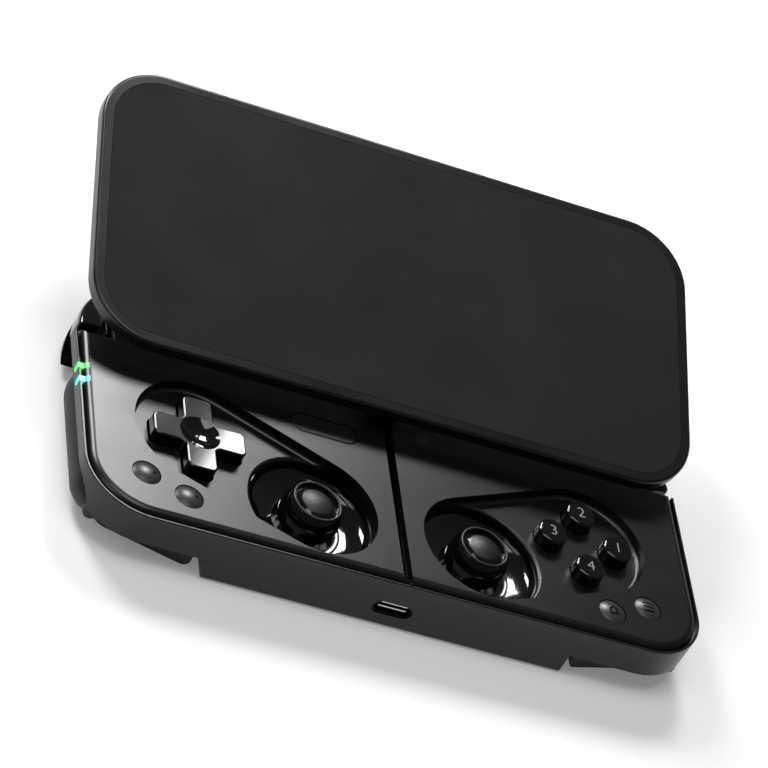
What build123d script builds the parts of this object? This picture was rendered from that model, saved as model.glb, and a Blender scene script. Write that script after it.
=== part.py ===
from build123d import *
from math import asin, cos, degrees, radians, sin
import os

os.makedirs("parts", exist_ok=True)

# Driving dimensions, mm. X to the right, Y up the face, Z out of the face; the back rests on Z = 0.
body_w = 147.7
body_d = 71.4
corner_r = 15.0
face_z = 14.0
seam_z = 12.0
shelf_z = 5.7
shelf_top_z = 6.9
back_t = 1.5
block_half = 43.0
wall = 1.6
rim_z = 13.3
rim_t = 0.5
lid_inset = 0.95
edge_r = 1.9

# Corner zones that the shoulder levers fill
zone_x = 43.3
zone_y = 16.2
setback = 7.2
lever_x = 47.2
lever_y = 31.9
lever_inset = 0.8
lever_r = 17.5
knuckle_r = 2.85
shoulder_pin_r = 1.1

# Teardrop recesses, sticks and button cluster
stick_x = 20.09
stick_y = -18.3
stick_r = 14.53
cluster_x = 46.85
cluster_y = -7.2
recess_y = -6.73
recess_r = 14.93
floor_z = 11.5
cup_z = 10.2
cup_wall = 1.2
ball_z = 8.4
ball_r = 7.0
ball_middle = 10.2
cap_top = 14.6
dome_top = 14.75
dome_r = 4.5
dome_rise = 0.9

# Direction cross and its rocker
cross_w = 6.9
cross_len = 10.7
cross_top = 14.5
dish_r = 4.7
dish_deep = 1.2
rocker_z = 9.6

# Round and pill-shaped buttons
face_button_pitch = 8.1
face_button_r = 3.6
face_button_top = 14.6
small_button_r = 3.18
outer_small = (60.14, -23.28)
inner_small = (50.68, -27.12)
pill_at = (-16.0, 5.7)
pill_l = 15.7
pill_w = 5.5

# Centre slot, slide and blade
slot_w = 2.1
slot_low = -33.9
slot_high = 32.2
blade_t = 1.7
rod_x = 6.5
rod_z = 3.8
rod_r = 1.0

# Tilting phone plate
hinge_y = 16.7
hinge_z = 16.2
hinge_r = 1.6
plate_tilt = 14.53
plate_t = 4.0
plate_up = 5.54
plate_over = 1.745

# Folded grips
grip_x = 69.35
grip_z = 5.4
barrel_r = 4.2
barrel_low = -28.6
barrel_high = 10.7
barrel_end = 7.0
barrel_tip_r = 1.5
trough_gap = 0.3

# Side lamps and socket
lamp_w = 1.6
lamp_y = (5.1, 1.0)
usb_z = 5.5


def plan(z, inset, radius):
    """Plain rounded rectangle, inset from the outline of the housing."""
    with BuildSketch(Plane.XY.offset(z)) as sketch:
        RectangleRounded(body_w - 2 * inset, body_d - 2 * inset, radius)
    return sketch.sketch


def body_outline(z, inset=0.0, ends=0.0):
    """Outline of the housing with both shoulder corners set back."""
    with BuildSketch(Plane.XY.offset(z)) as sketch:
        RectangleRounded(body_w - 2 * inset, body_d - 2 * inset, corner_r - inset)
        low = zone_y - inset + ends
        for side in (-1, 1):
            with Locations((side * (zone_x - inset), low)):
                corner = (Align.MAX if side < 0 else Align.MIN, Align.MIN)
                Rectangle(40, 30, align=corner, mode=Mode.SUBTRACT)
        step = setback + inset
        RectangleRounded(body_w - 2 * step, body_d - 2 * step, corner_r - step)
    return sketch.sketch


def teardrop(side, z, grow=0.0):
    """Stick circle and cluster circle joined by their tangents."""
    with BuildSketch(Plane.XY.offset(z)) as sketch:
        with Locations((side * stick_x, stick_y)):
            Circle(stick_r + grow)
        with Locations((side * cluster_x, recess_y)):
            Circle(recess_r + grow)
        make_hull()
    return sketch.sketch


def round_cross(z, grow=0.0):
    """Plan of the direction cross, centred on the left cluster."""
    with BuildSketch(Plane.XY.offset(z)) as sketch:
        with Locations((-cluster_x, cluster_y)):
            RectangleRounded(2 * (cross_len + grow), cross_w + 2 * grow, 1.5 + grow)
            RectangleRounded(cross_w + 2 * grow, 2 * (cross_len + grow), 1.5 + grow)
        inner = sketch.vertices().sort_by_distance((-cluster_x, cluster_y))[:4]
        fillet(inner, 1.4 - grow)
    return sketch.sketch


def bar_y(x, z, radius, low, high):
    """Round bar along Y between two stations."""
    plane = Plane(origin=(x, high, z), x_dir=(1, 0, 0), z_dir=(0, -1, 0))
    with BuildSketch(plane) as sketch:
        Circle(radius)
    return extrude(sketch.sketch, amount=high - low, mode=Mode.PRIVATE)


def bar_x(y, z, radius, low, high):
    """Round bar along X between two stations."""
    plane = Plane(origin=(low, y, z), x_dir=(0, 1, 0), z_dir=(1, 0, 0))
    with BuildSketch(plane) as sketch:
        Circle(radius)
    return extrude(sketch.sketch, amount=high - low, mode=Mode.PRIVATE)


def block(x0, x1, y0, y1, z0, z1):
    """Plain box between two corners."""
    box = Box(x1 - x0, y1 - y0, z1 - z0, align=(Align.MIN, Align.MIN, Align.MIN), mode=Mode.PRIVATE)
    return Pos(x0, y0, z0) * box


def post(x, y, radius, z0, z1):
    """Upright round post."""
    shape = Cylinder(radius, z1 - z0, align=(Align.CENTER, Align.CENTER, Align.MIN), mode=Mode.PRIVATE)
    return Pos(x, y, z0) * shape


def lamp_shape(y):
    """Capsule that wraps the left edge from the face to the wall."""
    low = 11.1
    with BuildSketch(Plane.YZ.offset(-body_w / 2 - 1)) as sketch:
        with Locations((y, (low + 16) / 2)):
            SlotOverall(16 - low, lamp_w, rotation=90)
    return extrude(sketch.sketch, amount=3.4, mode=Mode.PRIVATE)


def barrel(side, grow=0.0):
    """Grip hinge barrel with long rounded ends."""
    low = barrel_low - grow
    high = barrel_high + grow
    radius = barrel_r + grow
    slim = barrel_r - barrel_tip_r
    bend = (barrel_end**2 + slim**2) / (2 * slim)
    swing = degrees(asin(barrel_end / bend))
    with BuildSketch(Plane(origin=(side * grip_x, 0, grip_z), x_dir=(1, 0, 0), z_dir=(0, 0, 1))) as sketch:
        with BuildLine():
            first = CenterArc((radius - bend, low + barrel_end), bend, -swing, swing)
            last = CenterArc((radius - bend, high - barrel_end), bend, 0, swing)
            Line(first @ 1, last @ 0)
            Polyline(last @ 1, (0, high), (0, low), first @ 0)
        make_face()
    return revolve(sketch.sketch, axis=Axis((side * grip_x, 0, grip_z), (0, 1, 0)), mode=Mode.PRIVATE)


def brink(side, radius):
    """Rounding where the recess floor drops into the stick hole."""
    section = Plane(origin=(side * stick_x, stick_y, 0), x_dir=(1, 0, 0), z_dir=(0, -1, 0))
    near = stick_r - 0.03
    with BuildSketch(section) as sketch:
        with BuildLine():
            arc = CenterArc((near + radius, floor_z - radius), radius, 90, 90)
            Polyline(arc @ 1, (near - 1, floor_z - radius), (near - 1, floor_z + 0.02), (near + radius, floor_z + 0.02))
            Line((near + radius, floor_z + 0.02), arc @ 0)
        make_face()
    turned = revolve(sketch.sketch, axis=Axis((side * stick_x, stick_y, 0), (0, 0, 1)), mode=Mode.PRIVATE)
    return turned & extrude(teardrop(side, cup_z, -0.02), amount=3, mode=Mode.PRIVATE)


# Face shell: plate, recess cups, screw bosses and the tabs over the shoulder pins
face_screws = [(57.5, 18.0), (44.2, -31.2)]
with BuildPart() as front_cover:
    extrude(body_outline(seam_z, lid_inset, lid_inset + 0.4), amount=face_z - seam_z)
    for side in (-1, 1):
        add(post(side * lever_x, lever_y, 3.4, seam_z, face_z))
        tab = sorted((side * (zone_x - 2), side * lever_x))
        add(block(tab[0], tab[1], lever_y - 3.4, lever_y + 3.4, seam_z, face_z))
    extrude(plan(seam_z - 1, lid_inset, corner_r - lid_inset), amount=4, mode=Mode.INTERSECT)
    rim = front_cover.faces().sort_by(Axis.Z)[-1].outer_wire().edges()
    fillet(rim, edge_r)
    for side in (-1, 1):
        extrude(teardrop(side, cup_z, cup_wall), amount=seam_z - cup_z)
    for side in (-1, 1):
        extrude(teardrop(side, floor_z), amount=face_z, mode=Mode.SUBTRACT)
    fillet(front_cover.edges().filter_by_position(Axis.Z, floor_z - 0.01, floor_z + 0.01), 1.0)
    for side in (-1, 1):
        add(brink(side, 0.8), mode=Mode.SUBTRACT)
        add(post(side * stick_x, stick_y, stick_r, 5, 20), mode=Mode.SUBTRACT)
        for x, y in (outer_small, inner_small):
            add(post(side * x, y, small_button_r + 0.17, 8, 20), mode=Mode.SUBTRACT)
    extrude(round_cross(cup_z - 1, 0.35), amount=3, mode=Mode.SUBTRACT)
    for dx, dy in ((1, 0), (0, 1), (-1, 0), (0, -1)):
        x = cluster_x + dx * face_button_pitch
        y = cluster_y + dy * face_button_pitch
        add(post(x, y, face_button_r + 0.2, 8, 20), mode=Mode.SUBTRACT)
    with BuildSketch(Plane.XY.offset(8)):
        with Locations(pill_at):
            SlotOverall(pill_l + 0.35, pill_w + 0.35)
    extrude(amount=8, mode=Mode.SUBTRACT)
    add(block(-slot_w / 2, slot_w / 2, slot_low, slot_high, 8, 16), mode=Mode.SUBTRACT)
    add(block(0.75, slot_w / 2, -36.5, slot_low + 0.1, 12.8, 16), mode=Mode.SUBTRACT)
    for side in (-1, 1):
        for x, y in face_screws:
            add(post(side * x, y, 2.2, shelf_top_z, seam_z))
            add(post(side * x, y, 0.8, shelf_top_z, 10.6), mode=Mode.SUBTRACT)
        add(post(side * lever_x, lever_y, shoulder_pin_r, seam_z, seam_z + 0.7), mode=Mode.SUBTRACT)
    for y in lamp_y:
        add(lamp_shape(y), mode=Mode.SUBTRACT)
front_cover.part.label = "front_cover"
export_step(front_cover.part, "parts/front_cover.step")

# Lower housing: deep middle block, shallow shelves under the two ends, grip hinge troughs
with BuildPart() as chassis_frame:
    extrude(body_outline(shelf_z), amount=rim_z - shelf_z)
    fillet(chassis_frame.faces().sort_by(Axis.Z)[-1].outer_wire().edges(), 0.25)
    extrude(body_outline(seam_z, rim_t, rim_t + 1), amount=3, mode=Mode.SUBTRACT)
    add(block(0.75, slot_w / 2, -36.5, -34, 12.8, 16), mode=Mode.SUBTRACT)
    add(block(-block_half, block_half, -body_d / 2, body_d / 2, back_t, shelf_z))
    extrude(body_outline(shelf_top_z, wall), amount=6, mode=Mode.SUBTRACT)
    inner = block_half - wall
    add(block(-inner, inner, wall - body_d / 2, body_d / 2 - wall, 1, shelf_top_z), mode=Mode.SUBTRACT)
    add(block(-inner, -10, 32.4, 34.1, 4.9, 5.9))
    add(block(10, inner, 32.4, 34.1, 4.9, 5.9))
    for side in (-1, 1):
        ledge = sorted((side * 39.9, side * inner))
        add(block(ledge[0], ledge[1], -1, 34.1, 4.9, 5.9))
        for y in (-31.5, 31.5):
            add(post(side * 38.5, y, 2.2, back_t, 5.9))
            ribs = sorted((side * 38.5, side * inner))
            add(block(ribs[0], ribs[1], y - 0.6, y + 0.6, back_t, 5))
            add(post(side * 38.5, y, 0.8, 1, 5.4), mode=Mode.SUBTRACT)
        add(barrel(side, trough_gap + 0.8))
        add(bar_y(side * (grip_x + 4), grip_z, 5.9, 3, zone_y))
        add(barrel(side, 0.9).moved(Location((side * 4, 0, 0))), mode=Mode.SUBTRACT)
        add(bar_y(side * (grip_x + 4), grip_z, barrel_r + 0.9, 3, zone_y + 1), mode=Mode.SUBTRACT)
        add(barrel(side, trough_gap), mode=Mode.SUBTRACT)
        below = sorted((side * 60, side * 76))
        add(block(below[0], below[1], -32, zone_y + 1, -1, shelf_z), mode=Mode.SUBTRACT)
        add(bar_y(side * grip_x, grip_z, 1.9, barrel_low - 1.5, barrel_low - 0.3))
        add(bar_y(side * grip_x, grip_z, 1.9, barrel_high + 0.3, barrel_high + 1.8))
        add(bar_y(side * grip_x, grip_z, 0.9, barrel_low - 1.1, barrel_high + 1.4), mode=Mode.SUBTRACT)
        add(post(side * lever_x, lever_y, knuckle_r, 0.8, 2.3))
        lug = sorted((side * (block_half - 1), side * lever_x))
        add(block(lug[0], lug[1], lever_y - knuckle_r, lever_y + knuckle_r, back_t, 2.3))
        lug = sorted((side * (block_half + 0.2), side * lever_x))
        add(block(lug[0], lug[1], lever_y - knuckle_r, lever_y + knuckle_r, 0.8, back_t))
        add(post(side * lever_x, lever_y, shoulder_pin_r, 1.2, 3), mode=Mode.SUBTRACT)
        pass_x = sorted((side * (zone_x - 1), side * (zone_x + 1)))
        add(block(pass_x[0], pass_x[1], lever_y - 3.6, 36, seam_z, 16), mode=Mode.SUBTRACT)
        for x, y in face_screws:
            add(post(side * x, y, 0.8, 5, 8), mode=Mode.SUBTRACT)
            add(post(side * x, y, 1.7, 5, 6.3), mode=Mode.SUBTRACT)
    with BuildSketch(Plane.XZ.offset(34)):
        with Locations((0, usb_z)):
            SlotOverall(9.3, 3.6)
    extrude(amount=2, mode=Mode.SUBTRACT)
    for y in lamp_y:
        add(lamp_shape(y), mode=Mode.SUBTRACT)
    extrude(plan(-1, 0, corner_r), amount=20, mode=Mode.INTERSECT)
chassis_frame.part.label = "chassis_frame"
export_step(chassis_frame.part, "parts/chassis_frame.step")

# Back panel of the middle block, with the bosses that hold the slide rods
with BuildPart() as rear_cover:
    add(block(-block_half, block_half, -body_d / 2, body_d / 2, 0, back_t))
    under = rear_cover.faces().sort_by(Axis.Z)[0].outer_wire().edges()
    fillet(under, 1.2)
    for side in (-1, 1):
        for low, high in ((-29.0, -27.6), (33.0, 34.0)):
            add(block(side * rod_x - 1.9, side * rod_x + 1.9, low, high, back_t, 5.6))
        add(block(side * 8 - 1.2, side * 8 + 1.2, -33.8, -29.6, back_t, 3.0))
        add(bar_y(side * rod_x, rod_z, rod_r, -28.8, 33.8), mode=Mode.SUBTRACT)
        for y in (-31.5, 31.5):
            add(post(side * 38.5, y, 0.8, -1, 3), mode=Mode.SUBTRACT)
            add(post(side * 38.5, y, 1.8, -1, 0.9), mode=Mode.SUBTRACT)
rear_cover.part.label = "rear_cover"
export_step(rear_cover.part, "parts/rear_cover.step")

# Screws of the back panel and of the face shell
with BuildPart() as case_screws:
    for side in (-1, 1):
        for y in (-31.5, 31.5):
            add(post(side * 38.5, y, 1.7, 0.2, 0.9))
            add(post(side * 38.5, y, 0.8, 0.9, 5.2))
            add(post(side * 38.5, y, 0.7, 0, 0.5), mode=Mode.SUBTRACT)
        for x, y in face_screws:
            add(post(side * x, y, 1.6, 5.75, 6.3))
            add(post(side * x, y, 0.8, 6.3, 10.3))
            add(post(side * x, y, 0.6, 5.5, 6.1), mode=Mode.SUBTRACT)
case_screws.part.label = "case_screws"
export_step(case_screws.part, "parts/case_screws.step")

# Main board, bridged behind the slide
with BuildPart() as main_board:
    add(block(-41.0, 41.0, -1.0, 33.6, 5.9, shelf_top_z))
    add(block(-9.6, 9.6, -2.0, 31.4, 5.0, 8.0), mode=Mode.SUBTRACT)
    for side in (-1, 1):
        chip = side * 27
        add(block(chip - 4, chip + 4, 12, 20, shelf_top_z, 8.0))
main_board.part.label = "main_board"
export_step(main_board.part, "parts/main_board.step")

# Two cells side by side under the main board
with BuildPart() as battery_cells:
    for side in (-1, 1):
        cell = sorted((side * 12.5, side * 38.5))
        add(block(cell[0], cell[1], 0.0, 28.5, 1.7, 4.7))
    fillet(battery_cells.edges().filter_by(Axis.Z), 2.0)
battery_cells.part.label = "battery_cells"
export_step(battery_cells.part, "parts/battery_cells.step")

# Button boards on the shelves, one each side
for side, word in ((-1, "left"), (1, "right")):
    with BuildPart() as control_board:
        span = sorted((side * 37.2, side * 62.4))
        add(block(span[0], span[1], -31.0, 10.0, shelf_top_z, 7.9))
        add(post(side * 44.2, -31.2, 2.6, 6, 9), mode=Mode.SUBTRACT)
        fillet(control_board.edges().filter_by(Axis.Z).filter_by(GeomType.LINE).group_by(Axis.X)[0 if side < 0 else -1], 1.5)
    control_board.part.label = "control_board_" + word
    export_step(control_board.part, "parts/control_board_" + word + ".step")

# Tact switches under the small buttons, the pill, the sticks and the shoulder levers
with BuildPart() as tact_switches:
    for side in (-1, 1):
        for x, y in (outer_small, inner_small):
            add(block(side * x - 1.6, side * x + 1.6, y - 1.6, y + 1.6, 7.9, 8.5))
        add(block(side * stick_x - 1.5, side * stick_x + 1.5, stick_y - 1.5, stick_y + 1.5, back_t, 1.85))
        wall_y = body_d / 2 - setback
        add(block(side * 58 - 2, side * 58 + 2, wall_y, wall_y + 0.3, 9.0, 11.0))
        add(block(side * 60.5 - 2, side * 60.5 + 2, wall_y, wall_y + 0.35, 6.0, 8.0))
    add(block(pill_at[0] - 1.6, pill_at[0] + 1.6, pill_at[1] - 1.6, pill_at[1] + 1.6, shelf_top_z, 7.5))
tact_switches.part.label = "tact_switches"
export_step(tact_switches.part, "parts/tact_switches.step")

# Rubber mats with a dome under every arm and button
dome_steps = ((1, 0), (0, 1), (-1, 0), (0, -1))
with BuildPart() as dpad_dome_mat:
    add(post(-cluster_x, cluster_y, 11.0, 7.9, 8.1))
    for dx, dy in dome_steps:
        add(post(-cluster_x + 7.4 * dx, cluster_y + 7.4 * dy, 1.6, 8.1, 8.3))
    add(post(-cluster_x, cluster_y, 4.9, 7, 9), mode=Mode.SUBTRACT)
dpad_dome_mat.part.label = "dpad_dome_mat"
export_step(dpad_dome_mat.part, "parts/dpad_dome_mat.step")

with BuildPart() as button_dome_mat:
    add(post(cluster_x, cluster_y, 12.5, 7.9, 8.1))
    for dx, dy in dome_steps:
        x = cluster_x + face_button_pitch * dx
        add(post(x, cluster_y + face_button_pitch * dy, 2.2, 8.1, 8.4))
button_dome_mat.part.label = "button_dome_mat"
export_step(button_dome_mat.part, "parts/button_dome_mat.step")

# Socket shell, its tongue and the small board that carries them
with BuildPart() as usb_shell:
    with BuildSketch(Plane.XZ.offset(28.2)):
        with Locations((0, usb_z)):
            SlotOverall(8.94, 3.26)
            SlotOverall(8.34, 2.66, mode=Mode.SUBTRACT)
    extrude(amount=7.2)
    with BuildSketch(Plane.XZ.offset(28.2)):
        with Locations((0, usb_z)):
            SlotOverall(8.6, 2.9)
    extrude(amount=0.8)
usb_shell.part.label = "usb_shell"
export_step(usb_shell.part, "parts/usb_shell.step")

with BuildPart() as usb_tongue:
    add(block(-3.35, 3.35, -35.1, -29.0, usb_z - 0.35, usb_z + 0.35))
usb_tongue.part.label = "usb_tongue"
export_step(usb_tongue.part, "parts/usb_tongue.step")

with BuildPart() as usb_board:
    add(block(-10.5, 10.5, -33.8, -29.4, 3.0, usb_z - 1.63))
usb_board.part.label = "usb_board"
export_step(usb_board.part, "parts/usb_board.step")

# Light pipes flush with the wall and with the rounded left edge of the face shell
with BuildPart() as lid_hull:
    extrude(body_outline(seam_z, lid_inset), amount=face_z - seam_z)
    fillet(lid_hull.faces().sort_by(Axis.Z)[-1].outer_wire().edges(), edge_r)
for y, word in ((lamp_y[0], "green"), (lamp_y[1], "cyan")):
    with BuildPart() as lamp_pipe:
        extrude(body_outline(shelf_z), amount=rim_z - shelf_z)
        add(lid_hull.part)
        add(lamp_shape(y), mode=Mode.INTERSECT)
    lamp_pipe.part.label = "lamp_pipe_" + word
    export_step(lamp_pipe.part, "parts/lamp_pipe_" + word + ".step")

# Concave bowl, fixed base and two-axis joint of each stick
for side, word in ((-1, "left"), (1, "right")):
    centre = side * stick_x
    section = Plane(origin=(centre, stick_y, 0), x_dir=(1, 0, 0), z_dir=(0, -1, 0))

    with BuildPart() as stick_well:
        with BuildSketch(section):
            with BuildLine():
                Line((7.4, 6.0), (7.4, 6.6))
                Spline((7.4, 6.6), (12.23, 7.65), (14.4, 10.2), tangents=((1, 0), (0, 1)))
                Line((14.4, 10.2), (15.5, 10.2))
                Line((15.5, 10.2), (15.5, 9.3))
                Line((15.5, 9.3), (14.9, 9.3))
                Spline((14.9, 9.3), (12.6, 6.95), (7.4, 6.0), tangents=((0, -1), (-1, 0)))
            make_face()
        revolve(axis=Axis((centre, stick_y, 0), (0, 0, 1)))
    stick_well.part.label = "stick_well_" + word
    export_step(stick_well.part, "parts/stick_well_" + word + ".step")

    with BuildPart() as stick_base:
        add(block(centre - 7.5, centre + 7.5, stick_y - 7.5, stick_y + 7.5, back_t, 4.2))
        add(post(centre, stick_y, 6.4, 1, 3.6), mode=Mode.SUBTRACT)
        add(post(centre, stick_y, 5.6, 1, 5), mode=Mode.SUBTRACT)
    stick_base.part.label = "stick_base_" + word
    export_step(stick_base.part, "parts/stick_base_" + word + ".step")

    with BuildPart() as gimbal_frame:
        add(post(centre, stick_y, 6.3, 2.4, 3.4))
        for x in (-4.3, 2.9):
            add(block(centre + x, centre + x + 1.4, stick_y - 1.2, stick_y + 1.2, 3.4, 9.4))
        add(bar_x(stick_y, ball_z, 0.65, centre - 5, centre + 5), mode=Mode.SUBTRACT)
    gimbal_frame.part.label = "gimbal_frame_" + word
    export_step(gimbal_frame.part, "parts/gimbal_frame_" + word + ".step")

    with BuildPart() as gimbal_cradle:
        add(block(centre - 1.8, centre + 1.8, stick_y - 1.8, stick_y + 1.8, ball_z - 0.9, ball_z + 0.9))
        add(bar_x(stick_y, ball_z, 0.6, centre - 4.2, centre + 4.2))
        add(bar_y(centre, ball_z, 0.6, stick_y - 3.5, stick_y + 3.5))
    gimbal_cradle.part.label = "gimbal_cradle_" + word
    export_step(gimbal_cradle.part, "parts/gimbal_cradle_" + word + ".step")

    with BuildPart() as thumbstick:
        with BuildSketch(section):
            with BuildLine():
                sphere = (dome_r**2 + dome_rise**2) / (2 * dome_rise)
                dome = CenterArc((0, dome_top - sphere), sphere, 90, -degrees(asin(dome_r / sphere)))
                rim = Polyline(dome @ 1, (4.6, 13.7), (4.95, 13.7), (5.1, cap_top - 0.2))
                skirt = CenterArc((0, ball_middle), ball_r, 34.8, -54.8)
                ThreePointArc(rim @ 1, (5.4, cap_top), skirt @ 0)
                inside = CenterArc((0, ball_middle), ball_r - 1, -20.0, 44.0)
                Line(skirt @ 1, inside @ 0)
                Polyline(inside @ 1, (0, (inside @ 1).Y), dome @ 0)
            make_face()
        revolve(axis=Axis((centre, stick_y, 0), (0, 0, 1)))
        for y in (-3.5, 2.5):
            add(block(centre - 1.2, centre + 1.2, stick_y + y, stick_y + y + 1, 7.4, 12.9))
        add(bar_y(centre, ball_z, 0.65, stick_y - 4, stick_y + 4), mode=Mode.SUBTRACT)
    thumbstick.part.label = "thumbstick_" + word
    export_step(thumbstick.part, "parts/thumbstick_" + word + ".step")

# Direction cross on its rocker
with BuildPart() as dpad_pivot_base:
    add(post(-cluster_x, cluster_y, 4.7, 7.9, 8.3))
    for x in (-4.0, 2.8):
        left = x - cluster_x
        add(block(left, left + 1.2, cluster_y - 1.2, cluster_y + 1.2, 8.3, 10.5))
    add(bar_x(cluster_y, rocker_z, 0.65, -cluster_x - 5, -cluster_x + 5), mode=Mode.SUBTRACT)
dpad_pivot_base.part.label = "dpad_pivot_base"
export_step(dpad_pivot_base.part, "parts/dpad_pivot_base.step")

with BuildPart() as dpad_spider:
    add(block(-cluster_x - 2, -cluster_x + 2, cluster_y - 2, cluster_y + 2, rocker_z - 0.8, rocker_z + 0.8))
    add(bar_x(cluster_y, rocker_z, 0.6, -cluster_x - 4.0, -cluster_x + 4.0))
    add(bar_y(-cluster_x, rocker_z, 0.6, cluster_y - 4.0, cluster_y + 4.0))
dpad_spider.part.label = "dpad_spider"
export_step(dpad_spider.part, "parts/dpad_spider.step")

with BuildPart() as dpad:
    extrude(round_cross(9.4), amount=cross_top - 9.4)
    top = dpad.faces().sort_by(Axis.Z)[-1].outer_wire().edges()
    fillet(top, 0.4)
    add(post(-cluster_x, cluster_y, 9.0, 8.95, 9.45))
    add(post(-cluster_x, cluster_y, 4.5, 8, 11.7), mode=Mode.SUBTRACT)
    for y in (-4.0, 2.8):
        low = cluster_y + y
        add(block(-cluster_x - 1.2, -cluster_x + 1.2, low, low + 1.2, 8.65, 11.9))
    add(bar_y(-cluster_x, rocker_z, 0.65, cluster_y - 4.2, cluster_y + 4.2), mode=Mode.SUBTRACT)
    with BuildSketch(Plane(origin=(-cluster_x, cluster_y, 0), x_dir=(1, 0, 0), z_dir=(0, -1, 0))):
        with BuildLine():
            hollow_r = (dish_r**2 + dish_deep**2) / (2 * dish_deep)
            dish = CenterArc((0, cross_top - dish_deep + hollow_r), hollow_r, 270, 33)
            Polyline(dish @ 1, (0, (dish @ 1).Y), dish @ 0)
        make_face()
    revolve(axis=Axis((-cluster_x, cluster_y, 0), (0, 0, 1)), mode=Mode.SUBTRACT)
dpad.part.label = "dpad"
export_step(dpad.part, "parts/dpad.step")

# Four round buttons, numbered from the right, anticlockwise
for number, (dx, dy) in enumerate(dome_steps, start=1):
    x = cluster_x + face_button_pitch * dx
    y = cluster_y + face_button_pitch * dy
    with BuildPart() as face_button:
        add(post(x, y, face_button_r, 9.9, face_button_top))
        fillet(face_button.edges().group_by(Axis.Z)[-1], 0.6)
        add(post(x, y, 4.6, 9.5, 10.1))
    face_button.part.label = "face_button_" + str(number)
    export_step(face_button.part, "parts/face_button_" + str(number) + ".step")

# Small domed buttons
small_buttons = (
    ("capture_button", -outer_small[0], outer_small[1]),
    ("select_button", -inner_small[0], inner_small[1]),
    ("home_button", inner_small[0], inner_small[1]),
    ("menu_button", outer_small[0], outer_small[1]),
)
for name, x, y in small_buttons:
    with BuildPart() as small_button:
        with BuildSketch(Plane(origin=(x, y, 0), x_dir=(1, 0, 0), z_dir=(0, -1, 0))):
            with BuildLine():
                dome = CenterArc((0, 14.55 - 7.5), 7.5, 90, -25.0)
                Line(dome @ 1, (small_button_r, 11.8))
                Line((small_button_r, 11.8), (4.0, 11.8))
                Line((4.0, 11.8), (4.0, 11.2))
                Line((4.0, 11.2), (1.2, 11.2))
                Line((1.2, 11.2), (1.2, 9.05))
                Line((1.2, 9.05), (0, 9.05))
                Line((0, 9.05), dome @ 0)
            make_face()
        revolve(axis=Axis((x, y, 0), (0, 0, 1)))
    small_button.part.label = name
    export_step(small_button.part, "parts/" + name + ".step")

# Flush pill-shaped button
with BuildPart() as mode_button:
    with BuildSketch(Plane.XY.offset(11.2)):
        with Locations(pill_at):
            SlotOverall(pill_l + 1.5, pill_w + 1.5)
    extrude(amount=0.6)
    with BuildSketch(Plane.XY.offset(11.8)):
        with Locations(pill_at):
            SlotOverall(pill_l, pill_w)
    extrude(amount=face_z - 11.8)
    chamfer(mode_button.faces().sort_by(Axis.Z)[-1].outer_wire().edges(), 0.25)
    add(post(pill_at[0], pill_at[1], 1.5, 8.2, 11.2))
mode_button.part.label = "mode_button"
export_step(mode_button.part, "parts/mode_button.step")

# Slide: two rods, a carriage on four bushes, and the blade that stands in the slot
with BuildPart() as slide_rods:
    for side in (-1, 1):
        add(bar_y(side * rod_x, rod_z, rod_r, -28.8, 33.8))
slide_rods.part.label = "slide_rods"
export_step(slide_rods.part, "parts/slide_rods.step")

with BuildPart() as slide_carriage:
    add(block(-8.9, 8.9, 19.7, 32.7, 1.8, 5.8))
    fillet(slide_carriage.edges().filter_by(Axis.Z), 1.0)
    for side in (-1, 1):
        add(bar_y(side * rod_x, rod_z, 1.5, 19, 23.7), mode=Mode.SUBTRACT)
        add(bar_y(side * rod_x, rod_z, 1.5, 28.7, 33), mode=Mode.SUBTRACT)
        add(bar_y(side * rod_x, rod_z, 1.25, 19, 33), mode=Mode.SUBTRACT)
slide_carriage.part.label = "slide_carriage"
export_step(slide_carriage.part, "parts/slide_carriage.step")

with BuildPart() as carriage_bushes:
    for side in (-1, 1):
        for low in (19.7, 28.7):
            add(bar_y(side * rod_x, rod_z, 1.5, low, low + 4))
        add(bar_y(side * rod_x, rod_z, rod_r + 0.05, 19, 33), mode=Mode.SUBTRACT)
carriage_bushes.part.label = "carriage_bushes"
export_step(carriage_bushes.part, "parts/carriage_bushes.step")

with BuildPart() as slide_blade:
    with BuildSketch(Plane.YZ.offset(-blade_t / 2)):
        with Locations((hinge_y, hinge_z)):
            Circle(hinge_r)
        with BuildLine():
            Polyline(
                (hinge_y - hinge_r, hinge_z),
                (hinge_y - hinge_r, 8.0),
                (20.0, 8.0),
                (20.0, 5.8),
                (30.4, 5.8),
                (30.4, 9.5),
                (hinge_y + hinge_r, hinge_z),
                close=True,
            )
        make_face()
    extrude(amount=blade_t)
    add(bar_x(hinge_y, hinge_z, 0.8, -3, 3), mode=Mode.SUBTRACT)
slide_blade.part.label = "slide_blade"
export_step(slide_blade.part, "parts/slide_blade.step")

# Phone plate, tilted about the blade's eye; local Y runs up the plate, local Z out of its front
tilt = radians(plate_tilt)
plate_low = (
    0,
    hinge_y - plate_up * cos(tilt) - plate_over * sin(tilt),
    hinge_z - plate_up * sin(tilt) + plate_over * cos(tilt),
)
plate_plane = Plane(origin=plate_low, x_dir=(1, 0, 0), z_dir=(0, -sin(tilt), cos(tilt)))
ring_up = body_d / 2


def plate_slab(width, depth, radius, up, z0, z1):
    """Rounded slab on the plate's own axes."""
    with BuildSketch(plate_plane.offset(z0)) as sketch:
        with Locations((0, up)):
            RectangleRounded(width, depth, radius)
    return extrude(sketch.sketch, amount=z1 - z0, dir=plate_plane.z_dir, mode=Mode.PRIVATE)


def plate_post(x, up, radius, z0, z1):
    """Round post on the plate's own axes."""
    with BuildSketch(plate_plane.offset(z0)) as sketch:
        with Locations((x, up)):
            Circle(radius)
    return extrude(sketch.sketch, amount=z1 - z0, dir=plate_plane.z_dir, mode=Mode.PRIVATE)


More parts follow.
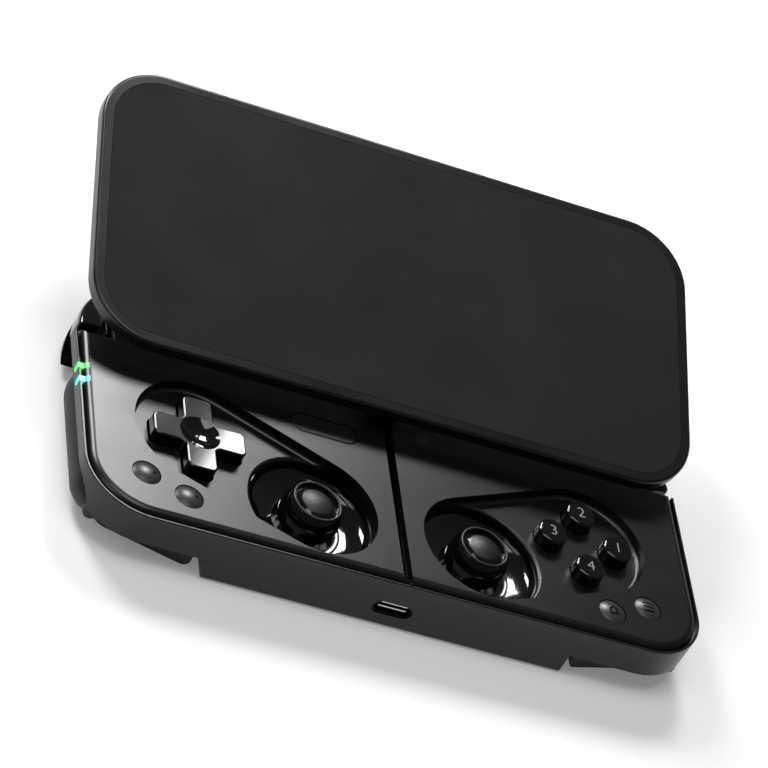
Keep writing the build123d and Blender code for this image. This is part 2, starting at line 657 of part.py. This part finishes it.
bracket_screw_at = [(-11.0, 4.6), (11.0, 4.6), (-11.0, 13.0), (11.0, 13.0)]
with BuildPart() as phone_plate:
    add(plate_slab(body_w, body_d, corner_r, ring_up, 0, plate_t))
    through = Axis(plate_low, plate_plane.z_dir)
    fillet(phone_plate.faces().sort_by(through)[0].outer_wire().edges(), 1.2)
    fillet(phone_plate.faces().sort_by(through)[-1].outer_wire().edges(), 0.8)
    add(plate_slab(body_w - 5, body_d - 5, corner_r - 2.5, ring_up, 3.3, 5), mode=Mode.SUBTRACT)
    add(plate_post(0, ring_up, 27.0, 2.1, 5), mode=Mode.SUBTRACT)
    add(plate_post(0, ring_up, 23.0, 2.1, 3.3))
    add(plate_slab(30.0, 14.0, 3.0, 8.8, -1, 1.2), mode=Mode.SUBTRACT)
    for x, up in bracket_screw_at:
        add(plate_post(x, up, 0.8, 0, 2.1), mode=Mode.SUBTRACT)
phone_plate.part.label = "phone_plate"
export_step(phone_plate.part, "parts/phone_plate.step")

with BuildPart() as plate_pad:
    add(plate_slab(body_w - 5.2, body_d - 5.2, corner_r - 2.6, ring_up, 3.3, plate_t))
plate_pad.part.label = "plate_pad"
export_step(plate_pad.part, "parts/plate_pad.step")

with BuildPart() as magnet_ring:
    add(plate_post(0, ring_up, 26.9, 2.1, 3.3))
    add(plate_post(0, ring_up, 23.1, 2, 4), mode=Mode.SUBTRACT)
magnet_ring.part.label = "magnet_ring"
export_step(magnet_ring.part, "parts/magnet_ring.step")

# Bracket whose two ears straddle the blade's eye
with BuildPart() as hinge_bracket:
    add(plate_slab(29.8, 13.8, 2.9, 8.8, 0, 1.2))
    for side in (-1, 1):
        ear = sorted((side * 1.1, side * 3.1))
        add(bar_x(hinge_y, hinge_z, hinge_r, ear[0], ear[1]))
        add(plate_slab(2.0, 2 * hinge_r, 0.3, plate_up, -plate_over, 0.5).moved(Location((side * 2.1, 0, 0))))
    add(bar_x(hinge_y, hinge_z, 0.8, -5, 5), mode=Mode.SUBTRACT)
    for x, up in bracket_screw_at:
        add(plate_post(x, up, 0.8, -1, 2), mode=Mode.SUBTRACT)
        add(plate_post(x, up, 1.5, -1, 0.7), mode=Mode.SUBTRACT)
hinge_bracket.part.label = "hinge_bracket"
export_step(hinge_bracket.part, "parts/hinge_bracket.step")

with BuildPart() as hinge_pin:
    add(bar_x(hinge_y, hinge_z, 0.75, -3.1, 3.1))
    add(bar_x(hinge_y, hinge_z, 1.2, 3.1, 3.5))
    add(bar_x(hinge_y, hinge_z, 1.2, -3.5, -3.1))
hinge_pin.part.label = "hinge_pin"
export_step(hinge_pin.part, "parts/hinge_pin.step")

with BuildPart() as bracket_screws:
    for x, up in bracket_screw_at:
        add(plate_post(x, up, 1.4, 0.05, 0.7))
        add(plate_post(x, up, 0.8, 0.7, 2.0))
        add(plate_post(x, up, 0.5, 0, 0.4), mode=Mode.SUBTRACT)
bracket_screws.part.label = "bracket_screws"
export_step(bracket_screws.part, "parts/bracket_screws.step")

# Pins of the shoulder levers and of the grips
with BuildPart() as shoulder_pins:
    for side in (-1, 1):
        add(post(side * lever_x, lever_y, shoulder_pin_r, 1.2, seam_z + 0.7))
shoulder_pins.part.label = "shoulder_pins"
export_step(shoulder_pins.part, "parts/shoulder_pins.step")

with BuildPart() as grip_pins:
    for side in (-1, 1):
        add(bar_y(side * grip_x, grip_z, 0.9, barrel_low - 1.1, barrel_high + 1.4))
grip_pins.part.label = "grip_pins"
export_step(grip_pins.part, "parts/grip_pins.step")


def lever_knuckle(side, z0, z1):
    """Arm and eye that turn on the shoulder pin."""
    arm = sorted((side * lever_x, side * (lever_x + 5.5)))
    return post(side * lever_x, lever_y, knuckle_r, z0, z1) + block(
        arm[0], arm[1], lever_y - knuckle_r, lever_y + knuckle_r, z0, z1
    )


# Shoulder levers: a bumper over a trigger at each upper corner
for side, word in ((-1, "left"), (1, "right")):
    reach = sorted((side * (lever_x + 4.1), side * 80))

    with BuildPart() as bumper:
        extrude(plan(8.5, lever_inset, lever_r), amount=5.2)
        fillet(bumper.faces().sort_by(Axis.Z)[-1].outer_wire().edges(), 1.2)
        extrude(plan(8, 5.8, corner_r - 5.8), amount=6, mode=Mode.SUBTRACT)
        add(block(reach[0], reach[1], 18.3, 40, 8, 14), mode=Mode.INTERSECT)
        fillet(bumper.edges().group_by(Axis.Y)[0], 0.4)
        add(lever_knuckle(side, 8.7, 11.8))
        add(post(side * lever_x, lever_y, shoulder_pin_r + 0.05, 0, 20), mode=Mode.SUBTRACT)
    bumper.part.label = "bumper_" + word
    export_step(bumper.part, "parts/bumper_" + word + ".step")

    with BuildPart() as trigger:
        extrude(plan(0.4, lever_inset, lever_r), amount=7.8)
        fillet(trigger.faces().sort_by(Axis.Z)[0].outer_wire().edges(), 3.5)
        extrude(plan(0, 4.5, corner_r - 4.5), amount=9, mode=Mode.SUBTRACT)
        add(block(reach[0], reach[1], 15, 40, 0, 9), mode=Mode.INTERSECT)
        with BuildSketch(Plane.YZ.offset(-80)):
            with BuildLine():
                Polyline(
                    (37, 0.4),
                    (30, 0.4),
                    (18.0, 1.2),
                    (16.3, 2.2),
                    (17.8, 3.8),
                    (27.5, 8.2),
                    (37, 8.2),
                    close=True,
                )
            make_face()
            fillet(vertices().group_by(Axis.Y)[0], 1.0)
        extrude(amount=160, mode=Mode.INTERSECT)
        add(lever_knuckle(side, 2.5, 8.1))
        add(post(side * lever_x, lever_y, shoulder_pin_r + 0.05, 0, 20), mode=Mode.SUBTRACT)
    trigger.part.label = "trigger_" + word
    export_step(trigger.part, "parts/trigger_" + word + ".step")

# Grips folded under the two ends, each on its barrel
for side, word in ((-1, "left"), (1, "right")):
    with BuildPart() as grip:
        with BuildSketch(Plane.XY.offset(0.3)):
            with BuildLine():
                Polyline(
                    (side * 45.5, -33.4),
                    (side * 66.8, -27.3),
                    (side * 66.8, 9.7),
                    (side * 45.5, 9.7),
                    close=True,
                )
            make_face()
            fillet(vertices().sort_by(Axis.Y)[1], 4.0)
        extrude(amount=grip_z - 0.3)
        add(barrel(side))
        add(bar_y(side * grip_x, grip_z, 0.95, barrel_low - 1, barrel_high + 1), mode=Mode.SUBTRACT)
        extrude(plan(-1, 0, corner_r), amount=20, mode=Mode.INTERSECT)
        free = grip.edges().filter_by(Axis.Y).group_by(Axis.X)[0 if side > 0 else -1]
        fillet(free, 1.8)
    grip.part.label = "grip_" + word
    export_step(grip.part, "parts/grip_" + word + ".step")
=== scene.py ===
import bmesh
import bpy
from mathutils import Matrix, Vector


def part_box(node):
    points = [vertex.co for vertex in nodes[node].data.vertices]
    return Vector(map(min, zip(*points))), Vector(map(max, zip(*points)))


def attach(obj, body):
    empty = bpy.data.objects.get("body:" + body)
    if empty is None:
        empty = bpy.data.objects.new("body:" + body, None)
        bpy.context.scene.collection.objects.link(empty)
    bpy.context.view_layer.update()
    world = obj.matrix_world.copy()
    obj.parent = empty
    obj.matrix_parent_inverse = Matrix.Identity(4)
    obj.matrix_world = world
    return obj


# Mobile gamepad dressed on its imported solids. Lengths are in metres unless a name says mm.
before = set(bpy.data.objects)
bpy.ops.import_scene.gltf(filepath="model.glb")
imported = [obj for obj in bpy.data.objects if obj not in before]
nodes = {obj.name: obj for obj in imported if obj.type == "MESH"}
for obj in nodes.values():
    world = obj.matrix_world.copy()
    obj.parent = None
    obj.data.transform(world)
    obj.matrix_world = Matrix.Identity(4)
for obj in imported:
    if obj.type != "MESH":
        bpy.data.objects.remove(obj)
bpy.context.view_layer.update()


# Camera, floor and studio
# A long lens looks down on the face from the front left, with the roll of the photograph.
# The floor is plain and pale, and a little brighter to the eye and in reflections than it lights.
def linear(hex_colour):
    """sRGB hex to linear RGBA."""
    channels = [int(hex_colour[i:i + 2], 16) / 255 for i in (1, 3, 5)]
    return [c / 12.92 if c <= 0.04045 else ((c + 0.055) / 1.055) ** 2.4 for c in channels] + [1.0]


def add_node(tree, kind, inputs=None, **settings):
    """Adds a node, sets its settings and fills or links its inputs."""
    made = tree.nodes.new(kind)
    for key, value in settings.items():
        setattr(made, key, value)
    for socket, value in (inputs or {}).items():
        if isinstance(value, bpy.types.NodeSocket):
            tree.links.new(value, made.inputs[socket])
        else:
            made.inputs[socket].default_value = value
    return made


def new_tree(name):
    """Empty node material and its tree."""
    material = bpy.data.materials.new(name)
    material.use_nodes = True
    material.node_tree.nodes.clear()
    return material, material.node_tree


camera_place = (-0.348718, -0.643556, 0.567562)
camera_look = (0.37333, 0.71493, -0.59118)
camera_right = (0.8918, -0.1010, 0.4410)
camera_data = bpy.data.cameras.new("camera")
camera_data.lens = 197.6
camera_data.sensor_width = 36.0
camera_data.clip_start = 0.05
camera = bpy.data.objects.new("camera", camera_data)
look = Vector(camera_look).normalized()
right = Vector(camera_right)
right = (right - look * right.dot(look)).normalized()
up = right.cross(look)
turn = Matrix((right, up, -look)).transposed().to_4x4()
camera.matrix_world = Matrix.Translation(camera_place) @ turn
bpy.context.scene.collection.objects.link(camera)
bpy.context.scene.camera = camera

floor_half_width = 6.0
floor_glow = 0.18
floor_mesh = bpy.data.meshes.new("floor")
shape = bmesh.new()
bmesh.ops.create_grid(shape, x_segments=1, y_segments=1, size=floor_half_width)
shape.to_mesh(floor_mesh)
shape.free()
floor = bpy.data.objects.new("floor", floor_mesh)
bpy.context.scene.collection.objects.link(floor)

# Matt emulsion on a board. The glow is for the camera, gloss and glass only, so it lights nothing.
floor_material, tree = new_tree("floor_paint")
rays = add_node(tree, "ShaderNodeLightPath")
seen = add_node(tree, "ShaderNodeMath", {
    0: rays.outputs["Is Camera Ray"], 1: rays.outputs["Is Glossy Ray"]}, operation="MAXIMUM")
seen = add_node(tree, "ShaderNodeMath", {
    0: seen.outputs[0], 1: rays.outputs["Is Transmission Ray"]}, operation="MAXIMUM")
lift = add_node(tree, "ShaderNodeMath", {0: seen.outputs[0], 1: floor_glow}, operation="MULTIPLY")
paint = add_node(tree, "ShaderNodeBsdfDiffuse", {"Color": linear("#f4f4f4")})
glow = add_node(tree, "ShaderNodeEmission", {
    "Color": linear("#ffffff"), "Strength": lift.outputs[0]})
both = add_node(tree, "ShaderNodeAddShader", {0: paint.outputs[0], 1: glow.outputs[0]})
add_node(tree, "ShaderNodeOutputMaterial", {"Surface": both.outputs[0]})
floor_mesh.materials.append(floor_material)

# The room is even and dim, so that the lamps alone make the sheen.
room_light = 0.09
world = bpy.data.worlds.new("studio")
world.use_nodes = True
world.node_tree.nodes.clear()
tree = world.node_tree
room = add_node(tree, "ShaderNodeBackground", {
    "Color": linear("#ffffff"), "Strength": room_light})
add_node(tree, "ShaderNodeOutputWorld", {"Surface": room.outputs[0]})
bpy.context.scene.world = world


def soft_lamp(name, at, aim, size, watts):
    """Rectangular area lamp that points at a place."""
    data = bpy.data.lights.new(name, "AREA")
    data.shape = "RECTANGLE"
    data.size, data.size_y = size
    data.energy = watts
    lamp = bpy.data.objects.new(name, data)
    facing = (Vector(aim) - Vector(at)).to_track_quat("-Z", "Y")
    lamp.matrix_world = Matrix.Translation(at) @ facing.to_matrix().to_4x4()
    bpy.context.scene.collection.objects.link(lamp)


# Two lamps behind the pad show as clear reflections in the polished pieces, and a wide one at
# the back left gives the broad sheen on the face. The last two give the colours their level.
soft_lamp("back_left", (0.08, 0.45, 0.42), (0.08, -0.1, 0.42), (0.11, 0.20), 2.3)
soft_lamp("strip", (0.192, 0.45, 0.415), (0.192, -0.1, 0.415), (0.028, 0.11), 0.16)
soft_lamp("side_left", (-0.28, 0.42, 0.36), (-0.07, -0.02, 0.014), (0.16, 0.22), 2.4)
soft_lamp("overhead", (-0.1, -0.05, 0.9), (0, 0, 0.01), (0.5, 0.5), 2.5)
soft_lamp("fill_left", (-0.75, -0.25, 0.65), (0, 0, 0.01), (0.5, 0.5), 1.2)
bpy.context.scene.view_settings.view_transform = "Standard"


# Shell: the face cover, lower housing and back panel, moulded in ABS, sprayed with a thin
# soft-touch lacquer and held by screws from the back. The lacquer gives a black with a broad,
# soft sheen over a grain of about a tenth of a millimetre.
def moulded(name, colours, rough, grain_mm, depth_mm, coat=0.0, ior=1.5):
    """Moulded plastic: two close tones, a fine grain and a slow change of sheen."""
    sheen_patch_mm = 22
    material, tree = new_tree(name)
    spot = add_node(tree, "ShaderNodeTexCoord").outputs["Object"]
    grain = add_node(tree, "ShaderNodeTexNoise", {
        "Vector": spot, "Scale": 1000 / grain_mm, "Detail": 2.0})
    patches = add_node(tree, "ShaderNodeTexNoise", {
        "Vector": spot, "Scale": 1000 / sheen_patch_mm, "Detail": 4.0})
    tone = add_node(tree, "ShaderNodeMix", {
        0: patches.outputs["Fac"], 6: linear(colours[0]), 7: linear(colours[1])}, data_type="RGBA")
    sheen = add_node(tree, "ShaderNodeMapRange", {
        "Value": patches.outputs["Fac"], "From Min": 0.3, "From Max": 0.7,
        "To Min": rough[0], "To Max": rough[1]})
    bump = add_node(tree, "ShaderNodeBump", {
        "Height": grain.outputs["Fac"], "Strength": 0.6, "Distance": depth_mm / 1000})
    plastic = add_node(tree, "ShaderNodeBsdfPrincipled", {
        "Base Color": tone.outputs[2], "Roughness": sheen.outputs["Result"],
        "Normal": bump.outputs["Normal"], "IOR": ior,
        "Coat Weight": coat, "Coat Roughness": 0.05})
    add_node(tree, "ShaderNodeOutputMaterial", {"Surface": plastic.outputs[0]})
    return material


def finish_nodes(material, *names):
    """Gives the solids of these names one material."""
    for name in names:
        mesh = nodes[name].data
        mesh.materials.clear()
        mesh.materials.append(material)


soft_touch_abs = moulded("soft_touch_abs", ("#070708", "#0a0a0b"), rough=(0.28, 0.34),
                         grain_mm=0.12, depth_mm=0.006)
finish_nodes(soft_touch_abs, "front_cover", "chassis_frame", "rear_cover")

# Grips: two ABS mouldings that turn on steel pins and lie folded flat under the two ends.
# Their coarse moulded grain, a third of a millimetre, gives a duller black than the shell's.
grained_abs = moulded("grained_abs", ("#0a0a0b", "#0e0e0f"), rough=(0.48, 0.56),
                      grain_mm=0.35, depth_mm=0.02)
finish_nodes(grained_abs, "grip_left", "grip_right")

# Direction cross, round buttons and stick bowls: polycarbonate moulded in polished tools and
# held between the face cover and the boards. The polish is almost a mirror, and a faint
# unevenness of the moulding softens the edge of each reflection.
polished = moulded("polished_polycarbonate", ("#050506", "#070708"), rough=(0.07, 0.10),
                   grain_mm=1.6, depth_mm=0.0006, coat=0.4)
finish_nodes(polished, "dpad", "face_button_1", "face_button_2", "face_button_3",
             "face_button_4", "stick_well_left", "stick_well_right")

# Numerals of the round buttons: pale ink, pad-printed on the flat tops, two hundredths of a
# millimetre thick. They run from 1 to 4, from the right and anticlockwise. The ink gives a
# light grey that is a little uneven in sheen.
pad_print_ink = moulded("pad_print_ink", ("#8f9194", "#9c9ea1"), rough=(0.35, 0.5),
                        grain_mm=0.1, depth_mm=0.002)
ink_half_thickness = 0.00001
ink_middle_above_top = 0.000012
numeral_height = 0.0042
stroke_thinned_by = 0.00006
for number in (1, 2, 3, 4):
    button = "face_button_" + str(number)
    low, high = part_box(button)
    middle = (low + high) / 2
    figure = bpy.data.curves.new("figure", "FONT")
    figure.body = str(number)
    figure.size = numeral_height
    figure.extrude = ink_half_thickness
    figure.offset = -stroke_thinned_by
    figure.align_x = "CENTER"
    figure.align_y = "CENTER"
    figure.resolution_u = 6
    outline = bpy.data.objects.new("outline", figure)
    printed = bpy.data.meshes.new_from_object(outline)
    bpy.data.objects.remove(outline)
    printed.transform(Matrix.Translation((middle.x, middle.y, high.z + ink_middle_above_top)))
    printed.materials.clear()
    printed.materials.append(pad_print_ink)
    numeral = bpy.data.objects.new("numeral_" + str(number), printed)
    bpy.context.scene.collection.objects.link(numeral)
    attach(numeral, button)

# Small domed buttons: satin-moulded polycarbonate, a little paler than the rest, held like the
# round ones. The satin lets a lamp melt into a soft gradient over each dome.
satin = moulded("satin_polycarbonate", ("#29292b", "#303032"), rough=(0.30, 0.36),
                grain_mm=1.6, depth_mm=0.001)
finish_nodes(satin, "capture_button", "select_button", "home_button", "menu_button")


# Signs on the small buttons: three bars, a plain house outline and one dot on each left button,
# standing for marks sunk in the dome. The shade in the sunk marks is painted: each is a
# near-black, dull skin of 0.03 mm that follows the dome, so it shows dark where the dome catches
# the light.
def on_dome(name, shape, button):
    """Lays a flat shape on the dome of a small button and gives it its thickness."""
    dome_radius = 0.0075
    proud = 0.000012
    low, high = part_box(button)
    middle = (low + high) / 2
    for point in shape.verts:
        fall = dome_radius - (dome_radius ** 2 - point.co.x ** 2 - point.co.y ** 2) ** 0.5
        point.co += Vector((middle.x, middle.y, high.z - fall + proud))
    mesh = bpy.data.meshes.new(name)
    bmesh.ops.recalc_face_normals(shape, faces=shape.faces)
    shape.to_mesh(mesh)
    shape.free()
    mesh.materials.append(sign_painted_shade)
    piece = bpy.data.objects.new(name, mesh)
    bpy.context.scene.collection.objects.link(piece)
    skin = piece.modifiers.new("skin", "SOLIDIFY")
    skin.thickness = 0.00003
    skin.offset = -1.0
    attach(piece, button)


# Painted shade: the near-black colour and weak reflection stand in for the shade inside the sunk
# marks.
sign_painted_shade = moulded("sunk_mark_painted_shade", ("#020202", "#030303"), rough=(0.85, 0.95),
                       grain_mm=0.2, depth_mm=0.002, ior=1.2)
bar_length, bar_width, bar_pitch = 0.0026, 0.00046, 0.00112
for row in (-1, 0, 1):
    bar = bmesh.new()
    bmesh.ops.create_grid(bar, x_segments=8, y_segments=1, size=0.5)
    bmesh.ops.scale(bar, vec=(bar_length, bar_width, 1), verts=bar.verts)
    bmesh.ops.translate(bar, vec=(0, bar_pitch * row, 0), verts=bar.verts)
    on_dome("menu_bar_" + str(row + 2), bar, "menu_button")

half_house, house_foot, eaves, ridge = 0.00105, -0.0012, 0.00035, 0.00135
house_line = 0.00042
corners = ((-half_house, house_foot), (half_house, house_foot), (half_house, eaves), (0.0, ridge),
           (-half_house, eaves))
house = bmesh.new()
wall = house.faces.new([house.verts.new((x, y, 0)) for x, y in corners])
wall.normal_update()
bmesh.ops.inset_region(house, faces=[wall], use_boundary=True, thickness=house_line,
                       use_even_offset=True)
bmesh.ops.delete(house, geom=[wall], context="FACES_ONLY")
bmesh.ops.subdivide_edges(house, edges=house.edges[:], cuts=6, use_grid_fill=True)
on_dome("home_sign", house, "home_button")

dot_radius = 0.0004
dot_beside_middle = (0.0016, 0.0002, 0)
for name, button in (("capture_dot", "capture_button"), ("select_dot", "select_button")):
    dot = bmesh.new()
    bmesh.ops.create_circle(dot, cap_ends=True, segments=24, radius=dot_radius)
    bmesh.ops.translate(dot, vec=dot_beside_middle, verts=dot.verts)
    on_dome(name, dot, button)


# Thumbsticks: a cap dipped in rubber on a polished polycarbonate ball, moulded in one and
# hung on the cross bar of the cradle. The cap is satin, and the ball below it is a mirror
# with a very fine grain; the change lies at the foot of the cap.
def capped_ball():
    """Rubber above the foot of the cap, polish below it."""
    stick_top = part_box("thumbstick_left")[1].z
    foot_low, foot_high = stick_top - 0.00065, stick_top - 0.00045
    ball_rough, cap_rough = 0.07, 0.42
    grain_mm, grain_depth_mm = 0.15, 0.006
    material, tree = new_tree("stick_cap_and_ball")
    spot = add_node(tree, "ShaderNodeTexCoord").outputs["Object"]
    height = add_node(tree, "ShaderNodeSeparateXYZ", {"Vector": spot})
    sheen = add_node(tree, "ShaderNodeMapRange", {
        "Value": height.outputs["Z"], "From Min": foot_low, "From Max": foot_high,
        "To Min": ball_rough, "To Max": cap_rough})
    grain = add_node(tree, "ShaderNodeTexNoise", {
        "Vector": spot, "Scale": 1000 / grain_mm, "Detail": 2.0})
    bump = add_node(tree, "ShaderNodeBump", {
        "Height": grain.outputs["Fac"], "Strength": 0.25, "Distance": grain_depth_mm / 1000})
    rubber = add_node(tree, "ShaderNodeBsdfPrincipled", {
        "Base Color": linear("#0a0a0b"), "Roughness": sheen.outputs["Result"],
        "Normal": bump.outputs["Normal"], "IOR": 1.5})
    add_node(tree, "ShaderNodeOutputMaterial", {"Surface": rubber.outputs[0]})
    return material


finish_nodes(capped_ball(), "thumbstick_left", "thumbstick_right")

# Pill-shaped button: an ABS moulding that lies flush in the face, on its own switch.
# Its tool was a little smoother than the shell's, so its bevel shows as a thin bright line.
pill_abs = moulded("pill_abs", ("#0e0e0f", "#131314"), rough=(0.30, 0.36),
                   grain_mm=0.12, depth_mm=0.004)
finish_nodes(pill_abs, "mode_button")

# Shoulder levers: a bumper over a trigger at each upper corner, moulded in polycarbonate and
# turning on an upright steel pin. Polished and clear-coated, they are glossier than the shell.
lever_polycarbonate = moulded("lever_polycarbonate", ("#070708", "#09090a"), rough=(0.08, 0.14),
                              grain_mm=1.2, depth_mm=0.002, coat=0.5)
finish_nodes(lever_polycarbonate, "bumper_left", "bumper_right", "trigger_left",
             "trigger_right")

# Plate and its pad: an ABS moulding screwed to the hinge bracket, with a silicone sheet bonded
# into its front. The moulding has the shell's sheen; the silicone is soft and dull.
plate_abs = moulded("plate_abs", ("#070708", "#0a0a0b"), rough=(0.28, 0.36),
                    grain_mm=0.12, depth_mm=0.004)
finish_nodes(plate_abs, "phone_plate")
silicone_pad = moulded("silicone_pad", ("#040404", "#060606"), rough=(0.78, 0.86),
                       grain_mm=0.2, depth_mm=0.01, ior=1.41)
finish_nodes(silicone_pad, "plate_pad")


# Lamps: two moulded acrylic light pipes that wrap the left edge, one lit green and one cyan.
# The light fills them evenly, and the moulding's fine unevenness breaks up their gloss.
def lit_acrylic(name, colour):
    """Acrylic that is lit from inside."""
    patch_mm = 0.8
    material, tree = new_tree(name)
    spot = add_node(tree, "ShaderNodeTexCoord").outputs["Object"]
    patches = add_node(tree, "ShaderNodeTexNoise", {"Vector": spot, "Scale": 1000 / patch_mm})
    sheen = add_node(tree, "ShaderNodeMapRange", {
        "Value": patches.outputs["Fac"], "To Min": 0.2, "To Max": 0.35})
    acrylic = add_node(tree, "ShaderNodeBsdfPrincipled", {
        "Base Color": linear("#0c2018"), "Roughness": sheen.outputs["Result"], "IOR": 1.49,
        "Emission Color": linear(colour), "Emission Strength": 1.0})
    add_node(tree, "ShaderNodeOutputMaterial", {"Surface": acrylic.outputs[0]})
    return material


finish_nodes(lit_acrylic("lit_green_acrylic", "#00ff50"), "lamp_pipe_green")
finish_nodes(lit_acrylic("lit_cyan_acrylic", "#00f4ff"), "lamp_pipe_cyan")


# Pins, rods, screws and pivots: turned steel, pressed or screwed into the mouldings.
# Fine turning marks stretch the shine along each part.
def metal(name, colour, rough, mark_mm):
    """Bare or plated metal with fine marks that are longer than they are wide."""
    marks_drawn_out = (1, 0.15, 1)
    material, tree = new_tree(name)
    spot = add_node(tree, "ShaderNodeTexCoord").outputs["Object"]
    drawn_out = add_node(tree, "ShaderNodeMapping", {"Vector": spot, "Scale": marks_drawn_out})
    marks = add_node(tree, "ShaderNodeTexNoise", {
        "Vector": drawn_out.outputs["Vector"], "Scale": 1000 / mark_mm, "Detail": 3.0})
    shine = add_node(tree, "ShaderNodeMapRange", {
        "Value": marks.outputs["Fac"], "To Min": rough[0], "To Max": rough[1]})
    bare = add_node(tree, "ShaderNodeBsdfPrincipled", {
        "Base Color": linear(colour), "Metallic": 1.0, "Roughness": shine.outputs["Result"]})
    add_node(tree, "ShaderNodeOutputMaterial", {"Surface": bare.outputs[0]})
    return material


finish_nodes(metal("turned_steel", "#c4c5c8", rough=(0.2, 0.4), mark_mm=0.3),
             "hinge_pin", "bracket_screws", "case_screws", "slide_rods", "shoulder_pins",
             "grip_pins", "dpad_spider", "gimbal_cradle_left", "gimbal_cradle_right")

# Switches: small cans stamped from bright steel strip and soldered to the boards.
# Rolling marks give them a slightly streaked shine.
finish_nodes(metal("stamped_steel", "#cfd0d2", rough=(0.15, 0.3), mark_mm=0.4), "tact_switches")

# Slide: carriage, blade and hinge bracket, milled in aluminium and anodised nearly black, with
# four bushes of sintered bronze pressed into the carriage. The oxide gives a satin shine, and
# the open grains of the bronze a duller, brown one.
finish_nodes(metal("anodised_aluminium", "#2b2c2f", rough=(0.3, 0.45), mark_mm=0.2),
             "slide_carriage", "slide_blade", "hinge_bracket")
finish_nodes(metal("sintered_bronze", "#b5824a", rough=(0.35, 0.55), mark_mm=0.15),
             "carriage_bushes")

# Magnet ring and cells: nickel-plated magnets set in the plate, and two flat cells wrapped in
# foil under the main board. The plating shines warm; the foil is a paler, softer grey.
finish_nodes(metal("nickel_plate", "#b9b6ae", rough=(0.2, 0.35), mark_mm=0.3), "magnet_ring")
finish_nodes(metal("cell_foil", "#a9abae", rough=(0.35, 0.5), mark_mm=1.0), "battery_cells")

# Charging socket: a steel shell with two bright edges, one on the lip above the tongue and one
# on the tongue's front. The edges are strips 0.06 mm deep in a near-white metal, a painted
# highlight, and the shell's near-black metal is painted shade that keeps the rest of the mouth
# dark.
finish_nodes(metal("socket_shell_painted_shade", "#232325", rough=(0.2, 0.3), mark_mm=0.4), "usb_shell")
# Painted highlight: the near-white metal of the two edge strips.
edge_strip_painted_highlight = metal("edge_strip_painted_highlight", "#f2f2f3", rough=(0.3, 0.36), mark_mm=0.4)
shell_low, shell_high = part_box("usb_shell")
tongue_low, tongue_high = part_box("usb_tongue")
shell_wall = 0.0003
lip_z = shell_high.z - shell_wall / 2
tongue_z = (tongue_low.z + tongue_high.z) / 2
strip_depth, strip_height, strip_middle_out = 0.00006, 0.00028, 0.00002
for name, length, front_y, middle_z in (("socket_lip", 0.0062, shell_low.y, lip_z),
                                        ("tongue_edge", 0.0065, tongue_low.y, tongue_z)):
    strip = bmesh.new()
    bmesh.ops.create_cube(strip, size=1.0)
    bmesh.ops.scale(strip, vec=(length, strip_depth, strip_height), verts=strip.verts)
    bmesh.ops.translate(strip, vec=(0, front_y - strip_middle_out, middle_z), verts=strip.verts)
    bmesh.ops.bevel(strip, geom=strip.edges[:], offset=0.00001, affect="EDGES", segments=1,
                    profile=0.5, material=-1)
    mesh = bpy.data.meshes.new(name)
    strip.to_mesh(mesh)
    strip.free()
    mesh.materials.append(edge_strip_painted_highlight)
    edge = bpy.data.objects.new(name, mesh)
    bpy.context.scene.collection.objects.link(edge)
    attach(edge, "body")

# Boards: glass-fibre laminate under a green solder mask, screwed or clamped in the housing.
# The mask is cured lacquer, so it gives an even, fairly glossy green.
solder_mask = moulded("solder_mask", ("#0a3d1c", "#0d4822"), rough=(0.25, 0.4),
                      grain_mm=0.8, depth_mm=0.01)
finish_nodes(solder_mask, "main_board", "control_board_left", "control_board_right",
             "usb_board")

# Dome mats under the cross and the round buttons: grey silicone, pressed in one sheet each and
# laid on the boards. Silicone keeps a soft, slightly greasy sheen.
silicone_mat = moulded("silicone_mat", ("#7c7f82", "#8a8d90"), rough=(0.45, 0.6),
                       grain_mm=0.3, depth_mm=0.01)
finish_nodes(silicone_mat, "dpad_dome_mat", "button_dome_mat")

# Inner mouldings: stick bases and frames, the cross's pivot base and the socket's tongue, in
# dark acetal for its slip. Moulded acetal has a dull, waxy surface.
acetal = moulded("acetal", ("#1d1d1f", "#242426"), rough=(0.35, 0.5),
                 grain_mm=0.3, depth_mm=0.01)
finish_nodes(acetal, "stick_base_left", "stick_base_right", "gimbal_frame_left",
             "gimbal_frame_right", "dpad_pivot_base", "usb_tongue")
